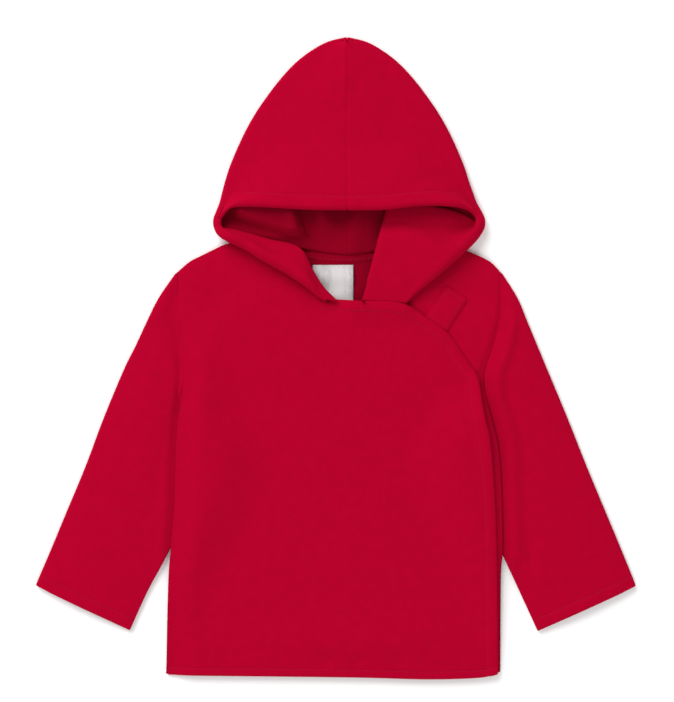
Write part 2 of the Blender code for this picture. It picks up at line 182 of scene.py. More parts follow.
def clothShell(name, grid, wall, finish, rounding=1.0, inner=None):
    # closed cloth with rounded edges round a grid of middle points (rows, columns, xyz);
    # rounding is near 0 where an edge is sewn to its neighbour, and over 1 where it thins out;
    # inner is the finish of the cloth's wrong side, darkened as painted shade, and whether that is the upper
    # or the lower face
    rows, columns = grid.shape[:2]
    normal = np.cross(np.gradient(grid, axis=1), np.gradient(grid, axis=0))
    normal /= np.maximum(np.linalg.norm(normal, axis=2, keepdims=True), 1e-9)
    stepDown = np.linalg.norm(np.diff(grid, axis=0), axis=2)
    stepAcross = np.linalg.norm(np.diff(grid, axis=1), axis=2)
    fromTop = np.concatenate([np.zeros((1, columns)), np.cumsum(stepDown, axis=0)])
    fromLeft = np.concatenate([np.zeros((rows, 1)), np.cumsum(stepAcross, axis=1)], axis=1)
    edge = np.minimum.reduce([fromTop, fromTop[-1] - fromTop, fromLeft, fromLeft[:, -1:] - fromLeft])
    roundness = np.sqrt(1 - (1 - np.clip(edge / (rounding * wall / 2), 0, 1)) ** 2)
    outward = normal * (0.5 * wall * roundness)[..., None]
    upper, lower = (grid + outward).reshape(-1, 3), (grid - outward).reshape(-1, 3)
    number = np.arange(rows * columns).reshape(rows, columns)
    within = number[1:-1, 1:-1].ravel()
    under = number.copy()
    under[1:-1, 1:-1] = rows * columns + np.arange(len(within)).reshape(rows - 2, columns - 2)
    points = np.concatenate([upper, lower[within]]) * mm
    faces = []
    for index, flip in ((number, False), (under, True)):
        a, b, c, d = index[:-1, :-1], index[:-1, 1:], index[1:, 1:], index[1:, :-1]
        quads = np.stack([a, d, c, b] if flip else [a, b, c, d], axis=-1)
        faces.append(quads.reshape(-1, 4))
    mesh = bpy.data.meshes.new(name)
    mesh.from_pydata(points.tolist(), [], np.concatenate(faces).tolist())
    mesh.update()
    mesh.shade_smooth()
    mesh.materials.append(finish)
    if inner:
        shadedWrongSide, face = inner
        mesh.materials.append(shadedWrongSide)
        onOneFace = len(faces[0])
        slots = np.zeros(len(mesh.polygons), dtype=np.int32)
        slots[slice(0, onOneFace) if face == "upper" else slice(onOneFace, None)] = 1
        mesh.polygons.foreach_set("material_index", slots)
    piece = bpy.data.objects.new(name, mesh)
    bpy.context.scene.collection.objects.link(piece)
    return piece


# materials

def hexColour(text):
    # sRGB hex to linear
    parts = [int(text[k:k + 2], 16) / 255 for k in (1, 3, 5)]
    return tuple(p / 12.92 if p <= 0.04045 else ((p + 0.055) / 1.055) ** 2.4 for p in parts) + (1.0,)


def addNode(tree, kind, settings=None, links=None):
    # one node: settings are its properties and unlinked inputs, links are input: output socket
    node = tree.nodes.new(kind)
    for key, value in (settings or {}).items():
        if isinstance(key, str) and hasattr(node, key):
            setattr(node, key, value)
        else:
            node.inputs[key].default_value = value
    for key, source in (links or {}).items():
        tree.links.new(source, node.inputs[key])
    return node


def newMaterial(name, finish):
    # a surface with these settings; patterns on it are linked to the piece's own coordinates
    made = bpy.data.materials.new(name)
    made.use_nodes = True
    tree = made.node_tree
    tree.nodes.clear()
    place = addNode(tree, "ShaderNodeTexCoord")
    surface = addNode(tree, "ShaderNodeBsdfPrincipled", finish)
    addNode(tree, "ShaderNodeOutputMaterial", None, {"Surface": surface.outputs["BSDF"]})
    return made, tree, surface, {"Vector": place.outputs["Object"]}


def colourSurface(tree, surface, pattern, dark, light, tones=(0.0, 1.0)):
    # tones are the pattern's values at the dark and the light colour
    ramp = addNode(tree, "ShaderNodeValToRGB", None, {"Fac": pattern})
    for stop, value, colour in zip(ramp.color_ramp.elements, tones, (dark, light)):
        stop.position = value
        stop.color = hexColour(colour)
    tree.links.new(ramp.outputs["Color"], surface.inputs["Base Color"])


def clothMaterial(name, look, dark, light):
    # two tones where a broad and a fine pattern are mixed, and relief from the fine one
    made, tree, surface, onPiece = newMaterial(name, look["finish"])
    stretch = addNode(tree, "ShaderNodeMapping", {"Scale": look["stretch"]}, onPiece)
    noise = []
    for size, settings in (look["broad"], look["fine"]):
        noise.append(addNode(tree, "ShaderNodeTexNoise", {"Scale": 1 / (size * mm), **settings},
                             {"Vector": stretch.outputs["Vector"]}).outputs["Fac"])
    both = addNode(tree, "ShaderNodeMix", {"data_type": "FLOAT", "Factor": look["fineShare"]},
                   {"A": noise[0], "B": noise[1]})
    colourSurface(tree, surface, both.outputs["Result"], dark, light, look["tones"])
    bump = addNode(tree, "ShaderNodeBump", {"Strength": look["relief"], "Distance": look["depth"] * mm},
                   {"Height": noise[1]})
    tree.links.new(bump.outputs["Normal"], surface.inputs["Normal"])
    return made


def threadMaterial(name, dark, light):
    # spun polyester sewing thread: dyed to match, a little glossier than the pile
    twistPitch = 0.6
    made, tree, surface, onPiece = newMaterial(name, {"Roughness": 0.6, "Specular IOR Level": 0.15})
    twist = addNode(tree, "ShaderNodeTexNoise", {"Scale": 1 / (twistPitch * mm), "Detail": 2.0}, onPiece)
    colourSurface(tree, surface, twist.outputs["Fac"], dark, light)
    return made


# brushed polyester fleece: matt, with a short raised pile that lights up at grazing angles
fleeceLook = {
    "finish": {"Roughness": 0.95, "Specular IOR Level": 0.02, "Sheen Weight": 0.4,
               "Sheen Roughness": 0.5, "Sheen Tint": hexColour("#F01846")},
    # where the pile lies a little differently, and clumps of its fibre, drawn coarse enough to show
    "broad": (9.0, {"Detail": 3.0, "Roughness": 0.55}),
    "fine": (1.1, {"Detail": 4.0, "Roughness": 0.7, "Distortion": 0.6}),
    "fineShare": 0.35,
    "stretch": (1.0, 1.0, 1.0),
    "tones": (0.32, 0.62),
    "relief": 0.35,
    "depth": 0.16,
}

# woven satin ribbon: fine parallel floats, with soft streaks of painted sheen in its colour
satinLook = {
    "finish": {"Roughness": 0.6, "Specular IOR Level": 0.05},
    # painted sheen streaks, and floats drawn coarse enough to show, both drawn out along the ribbon's height
    "broad": (9.0, {"Detail": 1.0}),
    "fine": (0.55, {"Detail": 2.0}),
    "fineShare": 0.35,
    "stretch": (1.0, 0.12, 1.0),
    "tones": (0.36, 0.56),
    "relief": 0.3,
    "depth": 0.06,
}

fleece = clothMaterial("brushedRedFleece", fleeceLook, "#9B0124", "#A10125")
fleeceBackPaintedShade = clothMaterial("fleeceWrongSidePaintedShade", fleeceLook, "#7B011A", "#80011B")   # darker than the face: painted shade for the hood's inside and the back of the neck
thread = threadMaterial("redSpunThread", "#970323", "#AE072D")
labelThread = threadMaterial("whiteSpunThread", "#B4B0AE", "#CECBC8")
# the label's colour holds painted sheen: lighter and darker streaks along it
satin = clothMaterial("wovenSatinPaintedSheen", satinLook, "#A09C9F", "#C2BFBE")
print("materials made")


# the cut: outlines of the body, x to the wearer's left and y up to the hood

cloth = {
    "wall": 2.2,
    "layer": 2.8,         # from one panel's middle to the next one's above it
    "first": 1.1,         # middle of a panel that lies on the table
    "sleeveLift": 5.7,    # how far the sides are raised by the sleeves beneath them
    "ease": 0.9,          # air left under the front
    "edgeHem": 9.0,       # widths of the turned edges: both fronts' free edges,
    "bodyHem": 6.0,       # the lower edge of the body,
    "cuffHem": 9.5,       # the cuffs,
    "brimHem": 11.5,      # the face edge of the hood,
    "neckBand": 7.0,      # and the band sewn over the neck seam
}

shoulderRight = [(-144.8, 75.5), (-132.3, 86.2), (-121.0, 92.0), (-111.4, 96.8), (-98.4, 102.4),
                 (-80.0, 104.0), (-42.6, 103.4)]
shoulderLeft = [(59.0, 103.4), (92.0, 102.0), (112.0, 97.6), (124.2, 93.2), (138.6, 86.0), (148.8, 75.5)]
neckBack = [(-42.6, 103.4), (-34.0, 100.2), (-17.0, 96.6), (8.0, 94.8), (33.0, 96.6), (50.0, 100.2),
            (59.0, 103.4)]
neckRight = [(-42.6, 103.4), (-38.0, 92.0), (-29.5, 73.0), (-13.0, 53.0)]
neckLeft = [(22.0, 48.5), (38.0, 70.0), (51.0, 90.0), (59.0, 103.4)]
armholeRight = [(-144.8, 75.5), (-143.5, 48.0), (-140.5, 20.0), (-138.4, -2.0), (-138.0, -22.0),
                (-140.8, -46.0)]
armholeLeft = [(148.8, 75.5), (149.0, 48.0), (145.6, 26.0), (139.6, 6.0), (134.6, -8.0), (132.8, -22.0),
               (137.0, -45.0)]
sideRight = [(-140.8, -46.0), (-142.8, -60.0), (-144.4, -84.0), (-145.6, -130.0), (-148.4, -170.0),
             (-150.6, -200.0), (-152.2, -284.0)]
sideLeft = [(137.0, -45.0), (141.0, -60.0), (145.4, -78.0), (148.0, -110.0), (149.2, -150.0),
            (149.2, -176.0), (147.6, -200.0), (147.4, -283.0)]
hem = [(-152.2, -284.0), (-145.0, -285.0), (-60.0, -286.0), (20.0, -287.0), (82.0, -288.6), (125.0, -287.4),
       (141.0, -285.2), (147.4, -283.0)]
overlapTop = [(-13.0, 53.0), (22.0, 50.8), (57.6, 49.0), (80.0, 36.5), (100.0, 22.0), (112.0, 6.0),
              (120.6, -6.8), (127.8, -18.0)]
overlapSide = [(127.8, -18.0), (129.6, -38.0), (132.6, -56.0), (136.8, -74.0), (140.4, -110.0),
               (142.4, -150.0), (143.4, -200.0), (144.6, -284.6)]
overlapHem = hem[:6] + [overlapSide[-1]]
underlapTop = [(-118.0, -18.0), (-110.0, -5.0), (-100.0, 9.0), (-84.0, 25.0), (-64.0, 38.0), (-42.0, 46.0),
               (-10.0, 48.2), (22.0, 48.5)]
underlapSide = [(-118.0, -18.0), (-121.0, -38.0), (-126.0, -74.0), (-130.0, -120.0), (-133.0, -190.0),
                (-137.0, -281.0)]
underlapHem = [(-137.0, -281.0), (-60.0, -283.0), (20.0, -284.0), (82.0, -285.6), (125.0, -284.8),
               (147.4, -283.0)]

# from the armhole to the cuff: outer fold x y, underarm seam x y, radius of the fold,
# rise between them, share of the width that is under the body
sleeveRows = {
    "right": [
        (-145.3, 75.5, -141.3, -46.0, 1.4, 0.0, 0.00),
        (-160.2, 53.6, -140.0, -53.0, 1.7, 1.2, 0.06),
        (-171.0, 32.0, -138.0, -60.0, 1.9, 2.0, 0.14),
        (-181.0, 10.4, -133.0, -69.0, 1.9, 2.4, 0.30),
        (-191.7, -11.3, -125.5, -81.0, 1.9, 2.5, 0.39),
        (-209.7, -54.5, -119.5, -100.0, 1.9, 2.6, 0.42),
        (-225.9, -97.7, -133.0, -139.0, 1.9, 2.6, 0.32),
        (-243.9, -140.9, -154.1, -180.7, 1.9, 2.6, 0.12),
        (-257.2, -173.0, -170.6, -211.4, 1.9, 2.6, 0.00),
        (-270.9, -205.0, -185.8, -244.9, 1.9, 2.6, 0.00),
    ],
    "left": [
        (149.3, 75.5, 137.5, -45.0, 1.4, 0.0, 0.00),
        (162.9, 53.6, 136.4, -52.0, 1.7, 1.2, 0.06),
        (171.9, 32.0, 134.6, -59.5, 1.9, 2.0, 0.16),
        (180.9, 10.4, 130.5, -69.0, 1.9, 2.4, 0.34),
        (189.9, -11.3, 123.5, -81.0, 1.9, 2.5, 0.43),
        (207.9, -54.5, 117.5, -100.0, 1.9, 2.6, 0.46),
        (225.0, -97.7, 131.0, -139.0, 1.9, 2.6, 0.34),
        (243.0, -140.9, 151.0, -181.0, 1.9, 2.6, 0.12),
        (256.5, -173.3, 165.6, -212.4, 1.9, 2.6, 0.00),
        (269.6, -205.6, 180.8, -245.6, 1.9, 2.6, 0.00),
    ],
}

overlapOutline = thinned(lineThrough(shoulderRight, neckRight, overlapTop, overlapSide,
                                     [overlapSide[-1], hem[0]], sideRight[::-1], armholeRight[::-1]))
underlapOutline = thinned(lineThrough(underlapTop, neckLeft, shoulderLeft, armholeLeft, sideLeft,
                                      underlapHem[::-1], underlapSide[::-1]))
sleeveOutlines = {}
for side, rows in sleeveRows.items():
    outer = [row[0:2] for row in rows]
    inner = [row[2:4] for row in rows]
    sleeveOutlines[side] = thinned(lineThrough(outer, [outer[-1], inner[-1]], inner[::-1]))

sewnRight = thinned(lineThrough(shoulderRight[::-1], armholeRight, sideRight))
sewnLeft = thinned(lineThrough(shoulderLeft, armholeLeft, sideLeft))
overlapEdge = thinned(lineThrough(overlapTop, overlapSide), 2.5)
overlapSideLine = thinned(lineThrough(overlapSide), 2.5)
overlapTopLine = thinned(lineThrough(overlapTop), 2.5)
hemLine = thinned(lineThrough(hem))
neckSeam = thinned(lineThrough(neckBack), 2.5)
tabRoot = np.array([(80.6, 37.4), (100.6, 24.6)])


# how high the body lies

fronts = {
    "underlapLift": 1.16,    # each front rises more over the sleeves than the back does
    "overlapLift": 1.38,
    "overHood": 5.4,         # rise of the overlap's upper edge over the left side of the hood
    "freeEdge": 5.0,         # rise of its side edge, below the closure tab
    "overTab": 1.9,          # rise where the tab is sewn on
}
nape = {"x": 13.6, "y": 101.0, "width": 11.0, "length": 14.0, "height": 6.0}

# from x y, to x y, half width, height
frontCreases = [
    (-135, 25, -146, -30, 9, -0.7),
    (-150, -5, -140, -60, 7, -0.8),
    (-140, -60, -146, -180, 6, -0.7),
    (-110, -248, 160, -256, 15, 2.6),
    (-20, -279, 2, -266, 5, -0.9),
    (8, -280, 30, -268, 5, -0.9),
    (0, -266, 24, -252, 5, -0.6),
    (46, -276, 72, -264, 6, -0.8),
    (76, -268, 98, -252, 6, -0.7),
    (-155, -268, -120, -262, 8, 0.8),
    (-95, 30, -70, -40, 22, 0.8),
    (30, 10, 70, -60, 26, 0.7),
]


def sleeveLift(x, y):
    # the left side stays low until the underarm
    belowUnderarm = np.where(x > 0, smooth((-20.0 - y) / 36.0), smooth((36.0 - y) / 80.0))
    toRight, toLeft = (signedDistance(sleeveOutlines[side], x, y) for side in ("right", "left"))
    reach = np.minimum(toRight, toLeft)
    return cloth["sleeveLift"] * belowUnderarm * (1 - smooth((reach - 8.0) / 50.0))


def seamHeight(x, y):
    # where the fronts meet the sleeves; on the left it sinks towards the underarm
    return cloth["first"] + sleeveLift(x, y) + 1.6 - 1.0 * smooth(x / 50.0) * smooth((80.0 - y) / 60.0)


def frontDrape(x, y):
    # the same for both fronts, so that they stay clear of each other
    hold = smooth(signedDistance(overlapOutline, x, y) / -25.0)
    drape = cloth["ease"] + softWaves(x, y, 4, 95, 0.30) + softWaves(x, y, 9, 34, 0.07)
    return np.maximum(hold * drape + creaseHeights(frontCreases, x, y), -0.35)


def neckPuff(x, y):
    # the back of the neck stands up a little beside the deep fold
    across = np.exp(-((x - nape["x"]) / nape["width"]) ** 2)
    return nape["height"] * across * np.exp(-((y - nape["y"]) / nape["length"]) ** 2)


def backHeight(x, y):
    sewn = np.minimum(distanceTo(sewnRight, x, y), distanceTo(sewnLeft, x, y))
    neck = distanceTo(neckSeam, x, y)
    band = 0.8 * (1 - smooth((neck - 7.5) / 3.0)) * smooth((neck - 2.5) / 2.5)
    seam = 0.8 * (1 - smooth(sewn / 6.0))
    return cloth["first"] + sleeveLift(x, y) + seam + band + neckPuff(x, y)


def underlapHeight(x, y):
    lift = fronts["underlapLift"] * sleeveLift(x, y)
    height = cloth["first"] + cloth["layer"] + lift + 0.8 * frontDrape(x, y)
    sewn = 1 - smooth(distanceTo(sewnLeft, x, y) / (6.0 + 3.0 * smooth((40.0 - y) / 80.0)))
    return height + sewn * (seamHeight(x, y) - height)


def overlapHeight(x, y):
    lift = fronts["overlapLift"] * sleeveLift(x, y)
    beyond = signedDistance(underlapOutline, x, y)
    onUnderlap = 1 - smooth((beyond - 8.0) / 34.0)
    overHood = fronts["overHood"] * smooth((x + 2.0) / 19.0) * (1 - smooth((x - 58.0) / 24.0))
    overHood = overHood * (1 - smooth((51.0 - y) / 28.0))
    height = cloth["first"] + cloth["layer"] * (1 + onUnderlap) + overHood + lift + frontDrape(x, y)
    freeSide = 1 - smooth(distanceTo(overlapSideLine, x, y) / 16.0)
    height += fronts["freeEdge"] * freeSide * smooth((-2.0 - y) / 34.0) * (1 - smooth((-58.0 - y) / 60.0))
    height += fronts["overTab"] * (1 - smooth(distanceTo(tabRoot, x, y) / 11.0))
    sewn = 1 - smooth(distanceTo(sewnRight, x, y) / (6.0 + 18.0 * smooth((50.0 - y) / 70.0)))
    return height + sewn * (seamHeight(x, y) - height)


# body panels

def bodyPanel(name, top, bottom, left, right, height, hems, sewnSides, shadedWrongSide="upper", thinEdge=None):
    # the cloth thins out near thinEdge, and it is square where it is sewn
    across = gradedShares(reachAlong(bottom)[-1], 12.0, 2.7)
    down = gradedShares(reachAlong(left)[-1], 10.0, 2.7)
    plan = patchBetween(top, bottom, left, right, across, down)
    x, y = plan[..., 0], plan[..., 1]
    z = height(x, y)
    for line, *hem in hems:
        z = z + hemHeights(distanceTo(line, x, y), *hem)
    rounding = np.ones(z.shape)
    if thinEdge is not None:
        rounding = np.where(distanceTo(thinEdge, x, y) < cloth["edgeHem"], 5.0, 1.0)
    for side in sewnSides:
        part = slice(0, 6) if side == "left" else slice(-6, None)
        rounding[:, part] = np.where(y[:, part] > -60.0, 0.05, 1.0)
    # the wrong side takes the darker fleece, which is painted shade where it shows at the neck
    return clothShell(name, np.dstack([x, y, z]), cloth["wall"], fleece, rounding, (fleeceBackPaintedShade, shadedWrongSide))


# turned edges: line, width, rise of the band, dent of its stitching, reach and depth of the rolled edge
underlapHems = [(thinned(lineThrough(underlapTop), 2.5), cloth["edgeHem"], 0.2, 0.2, 2.0, 0.5)]
overlapHems = [
    (overlapSideLine, cloth["edgeHem"], 0.5, 0.1, 5.0, 1.7),
    (overlapTopLine, cloth["edgeHem"], 0.5, 0.1, 9.0, 2.0),
    (hemLine, cloth["bodyHem"], 0.5, 0.2, 2.0, 2.0),
]


backPanel = bodyPanel(
    "backPanel",
    lineThrough(shoulderRight, neckBack, shoulderLeft), lineThrough(hem),
    lineThrough(armholeRight, sideRight), lineThrough(armholeLeft, sideLeft),
    backHeight, [], ("left", "right"), shadedWrongSide="lower")
print("back made")

leftFront = bodyPanel(
    "leftFront",
    lineThrough(underlapTop, neckLeft, shoulderLeft), lineThrough(underlapHem),
    lineThrough(underlapSide), lineThrough(armholeLeft, sideLeft),
    underlapHeight, underlapHems, ("right",))

rightFront = bodyPanel(
    "rightFront",
    lineThrough(shoulderRight, neckRight, overlapTop), lineThrough(overlapHem),
    lineThrough(armholeRight, sideRight), lineThrough(overlapSide),
    overlapHeight, overlapHems, ("left",), thinEdge=overlapTopLine)
print("fronts made")


# folded pieces: hood and sleeves

def pathNormals(path):
    # on the left of the path's direction
    run = np.gradient(path, axis=0)
    run /= np.maximum(np.linalg.norm(run, axis=1, keepdims=True), 1e-9)
    return np.stack([-run[:, 1], run[:, 0]], axis=1)


def foldedGrid(low, fold, high, roll, out, lowShares, highShares, lowHeight, highHeight, bend=None):
    # cloth folded at its outline: lower layer, round the fold, upper layer
    turns = 10     # steps round the fold
    bend = bend or (lambda share, plan: plan)
    inset = (roll + cloth["first"])[:, None]
    turnAt = fold - out * inset
    columns = []
    for share in lowShares[:-1]:
        plan = bend(1 - share, low + (turnAt - low) * share)
        columns.append(np.column_stack([plan, lowHeight(plan[:, 0], plan[:, 1])]))
    base = lowHeight(turnAt[:, 0], turnAt[:, 1])
    for turn in np.linspace(0, math.pi, turns + 1):
        plan = turnAt + out * (roll * math.sin(turn))[:, None]
        columns.append(np.column_stack([plan, base + roll * (1 - math.cos(turn))]))
    for share in highShares[1:]:
        plan = bend(share, turnAt + (high - turnAt) * share)
        columns.append(np.column_stack([plan, highHeight(share, plan[:, 0], plan[:, 1], base + 2 * roll)]))
    return np.stack(columns, axis=1)


# rows from the point of the hood down its outline: low x y, fold x y and high x y, as distances from
# the hood's centre line, radius of the fold, rise of the upper layer
crown = [
    (0.0, 283.5, 0.0, 288.6, 0.0, 283.5, 2.2, 1.1),
    (0.0, 272.0, 17.5, 284.2, 0.0, 272.0, 2.3, 1.3),
    (0.0, 257.0, 33.0, 275.6, 0.0, 257.0, 2.4, 1.6),
    (0.0, 241.0, 47.0, 264.6, 0.0, 241.0, 2.5, 2.0),
    (0.0, 224.0, 60.0, 250.6, 0.0, 224.0, 2.6, 2.5),
    (0.0, 205.0, 72.0, 235.0, 0.0, 206.0, 2.7, 3.0),
    (0.0, 184.0, 82.5, 219.6, 0.0, 188.0, 2.8, 3.5),
    (0.0, 162.0, 91.5, 203.6, 0.0, 170.0, 2.9, 4.0),
    (0.0, 138.0, 99.0, 187.6, 0.0, 151.0, 3.1, 4.5),
    (0.0, 114.0, 105.4, 172.0, 0.0, 132.1, 3.4, 4.7),
    (0.0, 92.6, 109.4, 159.6, 33.0, 132.6, 3.7, 4.4),
]
cornerRight = [
    (25.0, 95.4, 112.4, 148.2, 64.0, 134.4, 3.9, 3.7),
    (42.0, 98.4, 114.6, 139.5, 90.0, 135.6, 4.1, 2.6),
    (52.0, 101.6, 117.6, 131.6, 104.0, 134.6, 4.1, 1.6),
    (50.6, 97.2, 120.2, 124.6, 112.4, 126.4, 2.6, 0.8),
    (49.0, 94.6, 120.0, 117.6, 113.2, 120.0, 1.2, 0.3),
    (47.4, 91.2, 116.0, 109.8, 110.2, 116.4, 1.4, 0.0),
    (46.4, 88.4, 106.4, 103.2, 101.6, 114.6, 2.2, 0.0),
    (45.4, 86.0, 92.0, 96.6, 88.0, 111.0, 2.7, 0.0),
    (43.6, 82.2, 75.6, 86.4, 69.0, 105.8, 2.8, 0.0),
    (41.0, 76.5, 56.0, 75.4, 50.0, 101.6, 2.5, 0.0),
    (36.0, 70.5, 42.0, 66.4, 39.5, 95.4, 2.3, 0.0),
    (30.6, 66.0, 34.0, 60.6, 32.0, 81.0, 2.0, 0.0),
    (25.4, 60.6, 28.0, 55.6, 21.8, 64.4, 1.7, 0.0),
    (18.5, 52.2, 19.6, 50.2, 8.4, 50.2, 1.2, 0.0),
]
cornerLeft = [
    (25.0, 95.4, 113.4, 148.2, 64.0, 136.0, 3.9, 3.7),
    (40.6, 100.2, 116.6, 139.5, 92.0, 135.8, 4.1, 2.6),
    (49.6, 103.6, 121.0, 131.6, 106.5, 133.4, 4.1, 1.6),
    (48.0, 98.8, 124.0, 124.6, 114.2, 128.6, 4.0, 0.8),
    (46.0, 95.2, 123.8, 117.0, 115.4, 123.4, 3.9, 0.4),
    (44.0, 92.0, 119.6, 109.0, 111.4, 125.4, 3.7, 0.3),
    (41.6, 88.6, 112.4, 100.6, 102.0, 130.6, 3.5, 0.3),
    (38.8, 84.6, 104.0, 92.8, 87.0, 134.6, 3.3, 0.4),
    (35.6, 80.0, 96.4, 86.2, 70.0, 137.6, 3.1, 0.6),
    (32.0, 75.0, 89.0, 79.6, 53.0, 139.6, 2.9, 0.8),
    (28.0, 69.0, 81.6, 73.0, 37.5, 141.0, 2.7, 0.8),
    (23.6, 63.0, 73.0, 66.2, 27.6, 103.0, 2.4, 0.4),
    (19.0, 56.6, 63.0, 58.0, 20.4, 76.0, 2.0, 0.0),
    (14.0, 49.8, 52.0, 47.4, 13.2, 50.6, 1.1, 0.0),
]
# rows where an edge turns sharply: ends of the crown, back and neck seams, corner of the left side
crownSeamEnd, backSeamEnd, neckSeamEnd, sideCorner = 9, 10, 13, 21

# the upper edge of each folded side sinks into the hood: row of the table, width, share of the depth
sinking = {
    "right": [(13, 7, 1.0), (15, 9, 1.0), (17, 12, 1.0), (19, 18, 0.85),
              (21, 16, 0.5), (22, 11, 0.5), (23, 7, 0.7), (24, 4, 1.0)],
    "left": [(13, 7, 1.0), (15, 15, 1.0), (16, 35, 1.0), (17, 46, 1.0),
             (18, 48, 0.9), (19, 42, 0.8), (20, 36, 0.74), (21, 34, 0.7)],
}

hood = {
    "centre": 9.4,        # it lies a little off the body's centre line
    "brimRise": 8.4,      # the middle of the face edge stands up
    "crownRise": 2.5,     # and so does the crown's seam, less
    "sideRoll": {"right": 3.9, "left": 2.4},   # the folded sides are rounder than the crown's fold
    "patchRise": 13.0,    # the puffed patch inside,
    "patchRidge": 2.5,    # its ridge along the deep fold,
    "middleRise": 3.2,    # and the cloth on the fold's other side
    "rowStep": 1.45,      # between rows of the mesh
}

crownCreases = [
    (8, 284, 8, 225, 2.6, 0.7),
    (18, 262, 19, 222, 5, -0.9),
    (-10, 240, -2, 188, 10, -0.9),
    (44, 245, 54, 195, 11, -0.9),
    (-52, 172, -18, 152, 13, 0.9),
    (28, 170, 62, 152, 13, 0.9),
    (102, 182, 114, 150, 6, -1.4),
]

hoodSeam = [(-32.6, 100.2), (-15.6, 95.4), (9.4, 92.6), (34.4, 95.4), (50.0, 100.2)]
hoodSeam = thinned(lineThrough(hoodSeam), 2.5)

# the deep fold as y and x, and the foot of the patch beside it as x and y
insideFold = [(84.0, -19.0), (101.0, -23.4), (115.0, -28.8), (128.0, -32.6), (160.0, -39.0)]
insideValley = [(-96.0, 128.0), (-79.0, 116.6), (-60.0, 111.4), (-40.0, 106.0)]
insidePleats = [
    (-19, 160, -11, 108, 5.5, 6.5),
    (-4, 160, 4, 108, 4, -3.0),
    (24, 160, 14, 104, 7, 4.5),
]


def insideHeights(x, y):
    # loose cloth at the back of the hood: a puffed patch, a deep fold beside it, and pleats
    off = x - np.interp(y, [p[0] for p in insideFold], [p[1] for p in insideFold])
    above = y - np.interp(x, [p[0] for p in insideValley], [p[1] for p in insideValley])
    patch = hood["patchRise"] + hood["patchRidge"] * np.exp(-((off + 8.0) / 7.0) ** 2)
    patch = patch * (1 - smooth((off + 7.0) / 7.0))
    patch = patch * smooth(above / 11.5)
    middle = (hood["middleRise"] + creaseHeights(insidePleats, x, y)) * smooth((off - 3.0) / 12.0)
    middle = middle * (1 - smooth((x - 26.0) / 16.0))
    loose = np.maximum(patch * smooth((y - 97.0) / 10.0) + middle * smooth((y - 98.0) / 16.0), 0.0)
    return loose * (1 - smooth((y - 142.0) / 24.0)) + neckPuff(x, y)


def hoodLowHeight(x, y):
    # on the fronts near the neck, on the table beyond the shoulders
    onRight = signedDistance(overlapOutline, x, y)
    onLeft = signedDistance(underlapOutline, x, y)
    front = np.where(onRight < onLeft, overlapHeight(x, y), underlapHeight(x, y))
    share = 1 - smooth((np.minimum(onRight, onLeft) - 5.0) / 15.0)
    onNeck = cloth["first"] + 2.45 * (1 - smooth((distanceTo(neckSeam, x, y) - 4.0) / 10.0))
    onNeck = onNeck - rolledEdge(distanceTo(hoodSeam, x, y), 3.4, 1.25)
    return onNeck + (front + cloth["layer"] + 0.6 - onNeck) * share


